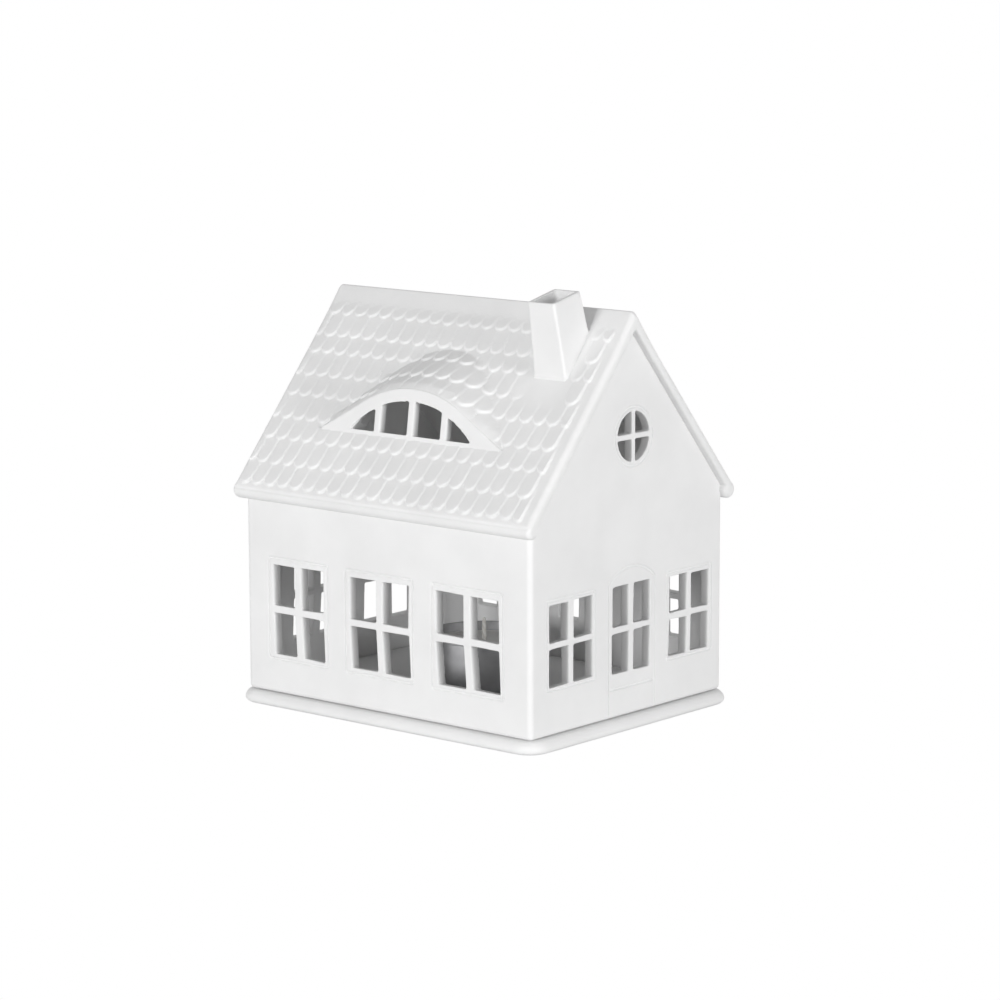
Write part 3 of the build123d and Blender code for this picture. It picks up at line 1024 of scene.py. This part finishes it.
def slab_shape(side):
    """One slope as a slab with rounded rakes, mitred at the ridge."""
    slab = block("slab", (-ROOF_HALF, 0, -ROOF_THICKNESS), (ROOF_HALF, EAVE_ALONG, 0))
    down = along(1)
    round_edges(slab, RAKE_RADIUS * MM, 4, lambda edge: down(edge) and lowest(edge) > -1)
    round_edges(slab, UNDERSIDE_RADIUS * MM, 2, lambda edge: down(edge) and highest(edge) < -3)
    for step in range(1, RIDGE_SLICES + 1):
        slice_at(slab, mm(0, RIDGE_REACH * step / RIDGE_SLICES, 0), (0, 1, 0))
    for corner in slab.data.vertices:
        x, along_slope, out = corner.co / MM
        if out > -ROOF_THICKNESS / 2:
            out += swell(along_slope)
        if along_slope < 0.01:
            along_slope -= RIDGE_SWELL * SLOPE
        corner.co = slope_place(side, x, along_slope, out)
    face_out(slab)
    shave(slab, mm(0, -side * 0.2, 0), (0, -side, 0))
    shave(slab, mm(0, 0, RIDGE_TOP), (0, 0, 1))
    for end in (-1, 1):
        centre = mm(end * (ROOF_HALF - SHOULDER_RADIUS), 0, SHOULDER_TOP - SHOULDER_RADIUS)
        for degrees in (22.5, 45.0, 67.5):
            angle = math.radians(degrees)
            way = Vector((end * math.cos(angle), 0, math.sin(angle)))
            shave(slab, centre + way * SHOULDER_RADIUS * MM, way)
    return slab


def eave_shape(side):
    """The rolled eave of one slope."""
    roll = rod("eave", (-ROOF_HALF, side * EAVE_Y, EAVE_Z), (ROOF_HALF, side * EAVE_Y, EAVE_Z),
               EAVE_ROLL, 40)
    round_edges(roll, EAVE_END_RADIUS * MM, 4, square_to(0))
    return roll


def eave_groove(side, sizes):
    """Cutter for the groove between the tiles and the rolled eave."""
    down, out = EAVE_GROOVE
    ends = [slope_place(side, x, EAVE_ALONG + down, out) / MM
            for x in (-ROOF_HALF - 2, ROOF_HALF + 2)]
    return rod("eave_groove", ends[0], ends[1], sizes.groove_radius / MM, 12)


def chimney_ring(along_axis, inset):
    """Corners of the chimney square to its leaning axis, in millimetres."""
    axis = Vector((0, -math.sin(CHIMNEY_LEAN), math.cos(CHIMNEY_LEAN)))
    side_way = Vector((0, math.cos(CHIMNEY_LEAN), math.sin(CHIMNEY_LEAN)))
    middle = CHIMNEY_AT + axis * along_axis
    half_x = CHIMNEY_HALF[0] - CHIMNEY_TAPER[0] * along_axis - inset
    half_y = CHIMNEY_HALF[1] - CHIMNEY_TAPER[1] * along_axis - inset
    return {(sx, sy): middle + Vector((sx * half_x, 0, 0)) + side_way * sy * half_y
            for sx in (-1, 1) for sy in (-1, 1)}


def stack_shape(name, low_inset, high_inset, low, high, radius):
    """The tapered, leaning stack between two heights of its axis."""
    bpy.ops.mesh.primitive_cube_add(size=2 * MM)
    stack = take(name)
    rings = {-1: chimney_ring(low, low_inset), 1: chimney_ring(high, high_inset)}
    for corner in stack.data.vertices:
        x, y, z = (1 if value > 0 else -1 for value in corner.co)
        corner.co = rings[z][(x, y)] * MM
    long_way = (high - low) / 2
    round_edges(stack, radius * MM, 4, lambda edge: edge.calc_length() > long_way * MM and
                highest(edge) - lowest(edge) > long_way / 2)
    return stack


def flue_cutter():
    """The shaft of the chimney."""
    return stack_shape(
        "flue", FLUE_WALL, FLUE_WALL, -CHIMNEY_DROP - 2, CHIMNEY_RISE + 2, FLUE_EDGE)


def mouth_cutter():
    """The flared mouth of the flue, wiped round with the sponge."""
    return stack_shape(
        "mouth", FLUE_WALL, MOUTH_WALL, CHIMNEY_RISE - MOUTH_DEPTH, CHIMNEY_RISE, MOUTH_EDGE)


def valley(x):
    """Where the hood runs into the slope: its place in Y, and down the slope."""
    y = DORMER_FOOT + max(0.0, VALLEY_SHARE * crown_rise(x))
    return y, -y / SLOPE_RUN


def chimney_fade(x, y):
    """0 at the chimney's foot, 1 where its smoothed clay ends."""
    gap_x = max(0.0, abs(x - CHIMNEY_AT.x) - CLAY_HALF[0])
    gap_y = max(0.0, abs(y - CLAY_MIDDLE_Y) - CLAY_HALF[1])
    share = clamp(math.hypot(gap_x, gap_y) / CLAY_FADE)
    return share * share * (3 - 2 * share)


def over_flue(x, y):
    """Whether a tile would lie over the chimney's hole."""
    return abs(x - CHIMNEY_AT.x) < BARE_HALF and BARE_Y[0] < y < BARE_Y[1]


def lay(side, x, s, out, on_hood):
    """A point of the tiled surface, s millimetres down from the ridge and out of it."""
    valley_y, valley_s = valley(x)
    if not on_hood or s <= valley_s:
        return slope_place(side, x, s, out + swell(s))
    limit = front_limit(x)
    y = valley_y - (s - valley_s) * math.cos(DORMER_CLIMB) * HOOD_STRETCH
    if out > 0:
        out *= clamp((y - limit) / HOOD_FADE)
    y = max(y, limit)
    z = DORMER_FOOT_Z + RISE_SHARE * crown_rise(x) + math.tan(DORMER_CLIMB) * (y - DORMER_FOOT)
    bend = (crown_rise(x + 0.5) - crown_rise(x - 0.5)) * RISE_SHARE
    normal = Vector((-bend, -math.tan(DORMER_CLIMB), 1)).normalized()
    return Vector((x, y, z)) * MM + normal * out * MM


def front_limit(x):
    """Where the hood ends at the back of the dormer's front."""
    up = crown_rise(x)
    return DORMER_FOOT + up * math.sin(DORMER_LEAN) + (HOOD_START + 0.3) * math.cos(DORMER_CLIMB)


def tile_shape(pitch, gap):
    """One tile, flat: X across, Y down the slope from the middle of its round end, Z out."""
    radius = (pitch - gap) / 2
    bpy.ops.mesh.primitive_cylinder_add(vertices=20, radius=radius, depth=2 * MM)
    tile = take("tile")
    open_mesh(tile, "VERT", lambda corner: corner.co.y > 0.1 * MM)
    bpy.ops.transform.translate(value=(0, TILE_BODY * MM, 0))
    close_mesh()
    round_edges(
        tile, TILE_EDGE * MM, 3, lambda edge: lowest(edge) > 0.9 and highest(edge, 1) < 0.1)
    for step in range(1, 8):
        slice_at(tile, mm(0, step / 8 * TILE_BODY, 0), (0, 1, 0))
    for step in (-1, 0, 1):
        slice_at(tile, mm(step * radius / MM / 2, 0, 0), (1, 0, 0))
    return tile


def tile_lengths(index):
    """Low point and upper end of one course, down from the ridge."""
    low = COURSES[index]
    high = low - TOP_COURSE_LENGTH if index == 0 else COURSES[index - 1] - COURSE_OVERLAP
    return low, high


def on_the_hood(x, low, high):
    """Whether a tile may lie on the dormer's hood: 1 it may, 0 it is below, -1 in the open."""
    if low > DORMER_FOOT_ALONG + 1.0:
        return 0
    valley_y, valley_s = valley(x)
    hood_run = (valley_y - front_limit(x)) / (math.cos(DORMER_CLIMB) * HOOD_STRETCH)
    return -1 if valley_y > DORMER_FOOT and high > valley_s + hood_run - 1.5 else 1


def laid_tile(model, side, x, index, sizes, draw):
    """A copy of the tile laid in its course, or None where there is no room for it."""
    low, high = tile_lengths(index)
    x += draw.uniform(-TILE_STRAY[0], TILE_STRAY[0])
    low += draw.uniform(-TILE_STRAY[1], TILE_STRAY[1])
    hood = on_the_hood(x, low, high) if side == FRONT else 0
    if hood < 0 or side == FRONT and over_flue(x, -0.5 * (low + high) * SLOPE_RUN):
        return None
    tile = copied(model, "tile")
    radius = (sizes.tile_pitch - sizes.tile_gap) / 2 / MM
    spread_out = draw.uniform(0.97, 1.02)
    step = sizes.tile_step / MM * draw.uniform(0.9, 1.1)
    for corner in tile.data.vertices:
        across, up, out = corner.co / MM
        body = low - high - radius
        if up > TILE_BODY:
            up += body - TILE_BODY
        elif up > 0.1:
            up *= body / TILE_BODY
        s = low - radius - up
        if side == FRONT and hood == 0 and abs(x) < crown_tip():
            s = max(s, DORMER_FOOT_ALONG - 1.4)
        share = clamp((s - high) / (low - high))
        place_x = clamp(x + across * spread_out, FIELD_LEFT, FIELD_RIGHT)
        top = TILE_BASE + step * share + TILE_TILT * across / radius
        if index == 0:
            top -= TOP_COURSE_SINK * (1 - share)
        if side == FRONT:
            top *= 0.15 + 0.85 * chimney_fade(place_x, -s * SLOPE_RUN)
        height = top - (1 - out) * TILE_DEPTH if out > -0.5 else TILE_ROOT
        corner.co = lay(side, place_x, s, height, hood > 0)
    return tile


def tile_courses(sizes):
    """All tiles of both slopes, course by course."""
    model = tile_shape(sizes.tile_pitch, sizes.tile_gap)
    draw = random.Random(5)
    pitch = sizes.tile_pitch / MM
    tiles = []
    for side in (FRONT, BACK):
        for index in range(len(COURSES)):
            start = TILE_START + pitch / 2 * (index % 2) - pitch
            for number in range(TILES_ACROSS):
                x = start + pitch * number
                if FIELD_LEFT + 0.8 - pitch / 2 < x < FIELD_RIGHT - 0.8 + pitch / 2:
                    tile = laid_tile(model, side, x, index, sizes, draw)
                    if tile is not None:
                        tiles.append(tile)
    bpy.data.objects.remove(model)
    return tiles


class TEALIGHT_OT_roof(Operator):
    """Casts both slopes with their tiles, rolled eaves and the dormer's hood in one"""
    bl_idname = "tealight_house.roof"
    bl_label = "Roof"

    def execute(self, context):
        sizes = context.scene.tealight_house_roof
        finish = context.scene.tealight_house_finish
        shells = []
        for side in (FRONT, BACK):
            slab, roll = slab_shape(side), eave_shape(side)
            for piece in (slab, roll):
                cut(piece, [eave_groove(side, sizes)])
            shells += [slab, roll]
            if side == FRONT:
                hood = hood_shape()
                for piece in (hood, slab):
                    cut(piece, [throat_cutter()])
                    cut(piece, [hollow_cutter()])
                cut(slab, [flue_cutter()])
                shells.append(hood)
        shells += tile_courses(sizes)
        roof = joined("roof_cast", shells)
        cast(roof, finish.detail, 3, finish.most_triangles)
        dress(roof, bisque(), "house", "porcelain", "roof_front", "roof_back", "dormer_hood")
        return {"FINISHED"}


class TEALIGHT_OT_chimney(Operator):
    """Makes the leaning, hollow chimney with its smoothed foot"""
    bl_idname = "tealight_house.chimney"
    bl_label = "Chimney"

    def execute(self, context):
        finish = context.scene.tealight_house_finish
        stack = stack_shape("chimney_stack", 0, 0, -CHIMNEY_DROP, CHIMNEY_RISE, CHIMNEY_EDGE)
        foot = stack_shape(
            "foot", -CLAY_SPREAD, -CLAY_SPREAD, -CHIMNEY_DROP, CLAY_TOP, CLAY_EDGE)
        shave(foot, slope_place(FRONT, 0, 0, CLAY_OVER_SLOPE), slope_normal(FRONT))
        for piece in (stack, foot):
            shave(piece, slope_place(FRONT, 0, 0, -STACK_SINK), -slope_normal(FRONT))
            cut(piece, [flue_cutter()])
        cut(stack, [mouth_cutter()])
        chimney = joined("chimney_stack", [stack, foot])
        cast(chimney, finish.fine_detail, 12, finish.most_triangles)
        dress(chimney, bisque(), "house", "porcelain", "chimney")
        return {"FINISHED"}


def rim_distance(place, corner):
    """How far a point lies inside the plate's outline, with the outline's corner beside it."""
    over_x = abs(place.x) - corner.x + PLATE_CORNER
    over_y = abs(place.y) - corner.y + PLATE_CORNER
    outside = math.hypot(max(0.0, over_x), max(0.0, over_y))
    return PLATE_CORNER - outside - min(0.0, max(over_x, over_y))


class TEALIGHT_OT_plate(Operator):
    """Makes the base plate with its full round nose, and the plinth that the walls fit over"""
    bl_idname = "tealight_house.plate"
    bl_label = "Base plate"

    def execute(self, context):
        low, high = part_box("base_plate")
        plate = block("base_plate_cast", low / MM, (high.x / MM, high.y / MM, FLOOR_Z))
        round_edges(plate, PLATE_CORNER * MM, 12, along(2))
        round_edges(plate, NOSE_RADIUS * MM, 7, square_to(2))
        for corner in plate.data.vertices:
            share = max(0.0, 1 - rim_distance(corner.co / MM, high / MM) / RIM_REACH)
            corner.co.z *= 1 - RIM_FALL * share ** 2
        half_x, half_y = PLINTH_HALF
        plinth = block(
            "plinth", (-half_x, -half_y, FLOOR_Z - 1), (half_x, half_y, PLINTH_TOP))
        round_edges(plinth, PLINTH_CORNER * MM, 6, along(2))
        round_edges(
            plinth, PLINTH_EDGE * MM, 3, lambda edge: lowest(edge) > PLINTH_TOP - 0.01)
        plate = joined("base_plate_cast", [plate, plinth])
        soften(plate, 40)
        dress(plate, bisque(), "plate", "porcelain", "base_plate")
        return {"FINISHED"}


# Tealight

def cup_shape():
    """The foil cup: thin wall, round bottom edge and a rolled rim."""
    top = PLINTH_TOP + CUP_HEIGHT
    cup = rod("tealight_foil_cup", (0, 0, PLINTH_TOP), (0, 0, top - CUP_WALL), CUP_RADIUS, 96)
    round_edges(cup, CUP_EDGE * MM, 4, lambda edge: highest(edge) < PLINTH_TOP + 0.01)
    open_mesh(cup, "FACE", lambda face: face.normal.z > 0.9)
    bpy.ops.mesh.inset(thickness=CUP_WALL * MM)
    bpy.ops.mesh.extrude_region_move(
        TRANSFORM_OT_translate={"value": (0, 0, -(CUP_HEIGHT - 0.7) * MM)})
    close_mesh()
    bpy.ops.mesh.primitive_torus_add(
        major_radius=(CUP_RADIUS + 0.12) * MM, minor_radius=RIM_RADIUS * MM,
        major_segments=96, minor_segments=12, location=mm(0, 0, top - RIM_RADIUS))
    cup = joined("tealight_foil_cup", [cup, take("rim")])
    soften(cup, 50)
    return cup


def wax_shape():
    """The wax, with the shallow dish that it sets with round the wick."""
    wax = rod("tealight_paraffin", (0, 0, WAX_FOOT), (0, 0, WAX_TOP), WAX_RADIUS, 96)
    open_mesh(wax, "FACE", lambda face: face.normal.z > 0.9)
    for width, rise in WAX_DISH:
        bpy.ops.mesh.inset(thickness=width * MM)
        bpy.ops.transform.translate(value=(0, 0, rise * MM))
    close_mesh()
    soften(wax, 60)
    return wax


def wick_shape():
    """The wick: a plaited cord that tapers to a soft tip."""
    wick = rod("tealight_cotton_wick", (0, 0, WICK_FOOT), (0, 0, WICK_TIP), WICK_RADIUS, 16)
    open_mesh(wick, "EDGE", along(2))
    bpy.ops.mesh.subdivide(number_cuts=24)
    close_mesh()
    for corner in wick.data.vertices:
        share = (corner.co.z / MM - WICK_FOOT) / (WICK_TIP - WICK_FOOT)
        angle = math.atan2(corner.co.y, corner.co.x)
        narrow = 1 - 0.35 * max(0.0, share - 0.9) / 0.1
        plait = 0.94 + 0.06 * math.cos(3 * angle + 70 * share)
        corner.co.x *= narrow * plait
        corner.co.y *= narrow * plait
    soften(wick, 60)
    return wick


class TEALIGHT_OT_tealight(Operator):
    """Makes the tealight: foil cup, wax and wick, and gives the wick's foot its steel"""
    bl_idname = "tealight_house.tealight"
    bl_label = "Tealight"

    def execute(self, context):
        dress(cup_shape(), foil(), "tealight", "aluminium", "tealight_cup")
        dress(wax_shape(), paraffin(), "tealight", "wax", "tealight_wax")
        dress(wick_shape(), cotton(), "tealight", "cotton", "tealight_wick")
        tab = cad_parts["wick_tab"]
        tab.data.materials.clear()
        tab.data.materials.append(tinned_steel())
        return {"FINISHED"}


# Stage

def around(azimuth, elevation):
    """The way to a place round the house: azimuth 0 is in front and 90 degrees at the door."""
    return Vector((
        math.sin(azimuth) * math.cos(elevation),
        -math.cos(azimuth) * math.cos(elevation),
        math.sin(elevation)))


def soft_light(name, power):
    """A large square area light that looks at the middle of the house."""
    azimuth, elevation, size = LIGHTS[name]
    way = around(math.radians(azimuth), math.radians(elevation))
    data = bpy.data.lights.new(name, "AREA")
    data.shape = "SQUARE"
    data.size = size
    data.energy = power
    lamp = bpy.data.objects.new(name, data)
    bpy.context.collection.objects.link(lamp)
    lamp.location = LIGHT_AIM + way * LIGHT_DISTANCE
    lamp.rotation_euler = (-way).to_track_quat("-Z", "Y").to_euler()


def soft_sky():
    """A dim grey surround that looks white behind the object."""
    world = bpy.data.worlds.new("studio")
    bpy.context.scene.world = world
    world.use_nodes = True
    nodes, link = world.node_tree.nodes, world.node_tree.links.new
    nodes.clear()
    output = nodes.new("ShaderNodeOutputWorld")
    back = nodes.new("ShaderNodeBackground")
    seen = nodes.new("ShaderNodeMix")
    seen.data_type = "RGBA"
    link(nodes.new("ShaderNodeLightPath").outputs["Is Camera Ray"], seen.inputs["Factor"])
    seen.inputs["A"].default_value = grey(SKY_GREY)
    seen.inputs["B"].default_value = grey(1.0)
    link(seen.outputs["Result"], back.inputs["Color"])
    back.inputs["Strength"].default_value = 1.0
    link(back.outputs["Background"], output.inputs["Surface"])


def camera_axes(look):
    """The camera's right, rolled right, up and back directions."""
    back = around(look.azimuth, look.elevation)
    right = Vector((math.cos(look.azimuth), math.sin(look.azimuth), 0))
    up = back.cross(right)
    rolled_right = right * math.cos(look.roll) + up * math.sin(look.roll)
    rolled_up = up * math.cos(look.roll) - right * math.sin(look.roll)
    return right, rolled_right, rolled_up, back


class TEALIGHT_OT_stage(Operator):
    """Sets up the floor, the soft light and the camera"""
    bl_idname = "tealight_house.stage"
    bl_label = "Stage"

    def execute(self, context):
        look = context.scene.tealight_house_stage
        right, rolled_right, rolled_up, back = camera_axes(look)
        data = bpy.data.cameras.new("camera")
        data.lens = look.lens
        data.sensor_width = 36.0
        data.clip_start, data.clip_end = 0.01, 100.0
        camera = bpy.data.objects.new("camera", data)
        context.collection.objects.link(camera)
        place = Vector((0, 0, look.aim_height)) + back * look.distance + right * look.aside
        turn = Matrix((rolled_right, rolled_up, back)).transposed().to_4x4()
        camera.matrix_world = Matrix.Translation(place) @ turn
        context.scene.camera = camera
        bpy.ops.mesh.primitive_plane_add(size=FLOOR_SIZE, location=(0, 0, 0))
        floor = take("floor")
        floor.data.materials.append(pale_floor())
        soft_sky()
        soft_light("left", look.left_power)
        soft_light("right", look.right_power)
        soft_light("back", look.back_power)
        context.scene.view_settings.view_transform = "Standard"
        return {"FINISHED"}


class TEALIGHT_PT_panel(Panel):
    """Sidebar panel that lists the sizes and the pieces"""
    bl_idname = "TEALIGHT_PT_panel"
    bl_label = "Tealight House"
    bl_space_type = "VIEW_3D"
    bl_region_type = "UI"
    bl_category = "Tealight House"

    def draw(self, context):
        scene = context.scene
        for group in (scene.tealight_house_sizes, scene.tealight_house_roof,
                      scene.tealight_house_finish, scene.tealight_house_stage):
            column = self.layout.column(align=True)
            for name in group.__annotations__:
                column.prop(group, name)
        for operator in OPERATORS:
            self.layout.operator(operator.bl_idname)


GROUPS = {
    "tealight_house_sizes": HouseSizes,
    "tealight_house_roof": RoofSizes,
    "tealight_house_finish": CastFinish,
    "tealight_house_stage": StageLook,
}
OPERATORS = (
    TEALIGHT_OT_stage, TEALIGHT_OT_plate, TEALIGHT_OT_walls, TEALIGHT_OT_roof,
    TEALIGHT_OT_dormer, TEALIGHT_OT_chimney, TEALIGHT_OT_tealight,
)


def register():
    for name, group in GROUPS.items():
        bpy.utils.register_class(group)
        setattr(bpy.types.Scene, name, PointerProperty(type=group))
    for operator in OPERATORS:
        bpy.utils.register_class(operator)
    bpy.utils.register_class(TEALIGHT_PT_panel)


def unregister():
    bpy.utils.unregister_class(TEALIGHT_PT_panel)
    for operator in reversed(OPERATORS):
        bpy.utils.unregister_class(operator)
    for name, group in GROUPS.items():
        delattr(bpy.types.Scene, name)
        bpy.utils.unregister_class(group)


def main():
    register()
    bpy.ops.tealight_house.stage()
    bpy.ops.tealight_house.plate()
    bpy.ops.tealight_house.walls()
    bpy.ops.tealight_house.roof()
    bpy.ops.tealight_house.dormer()
    bpy.ops.tealight_house.chimney()
    bpy.ops.tealight_house.tealight()


if __name__ == "__main__":
    main()
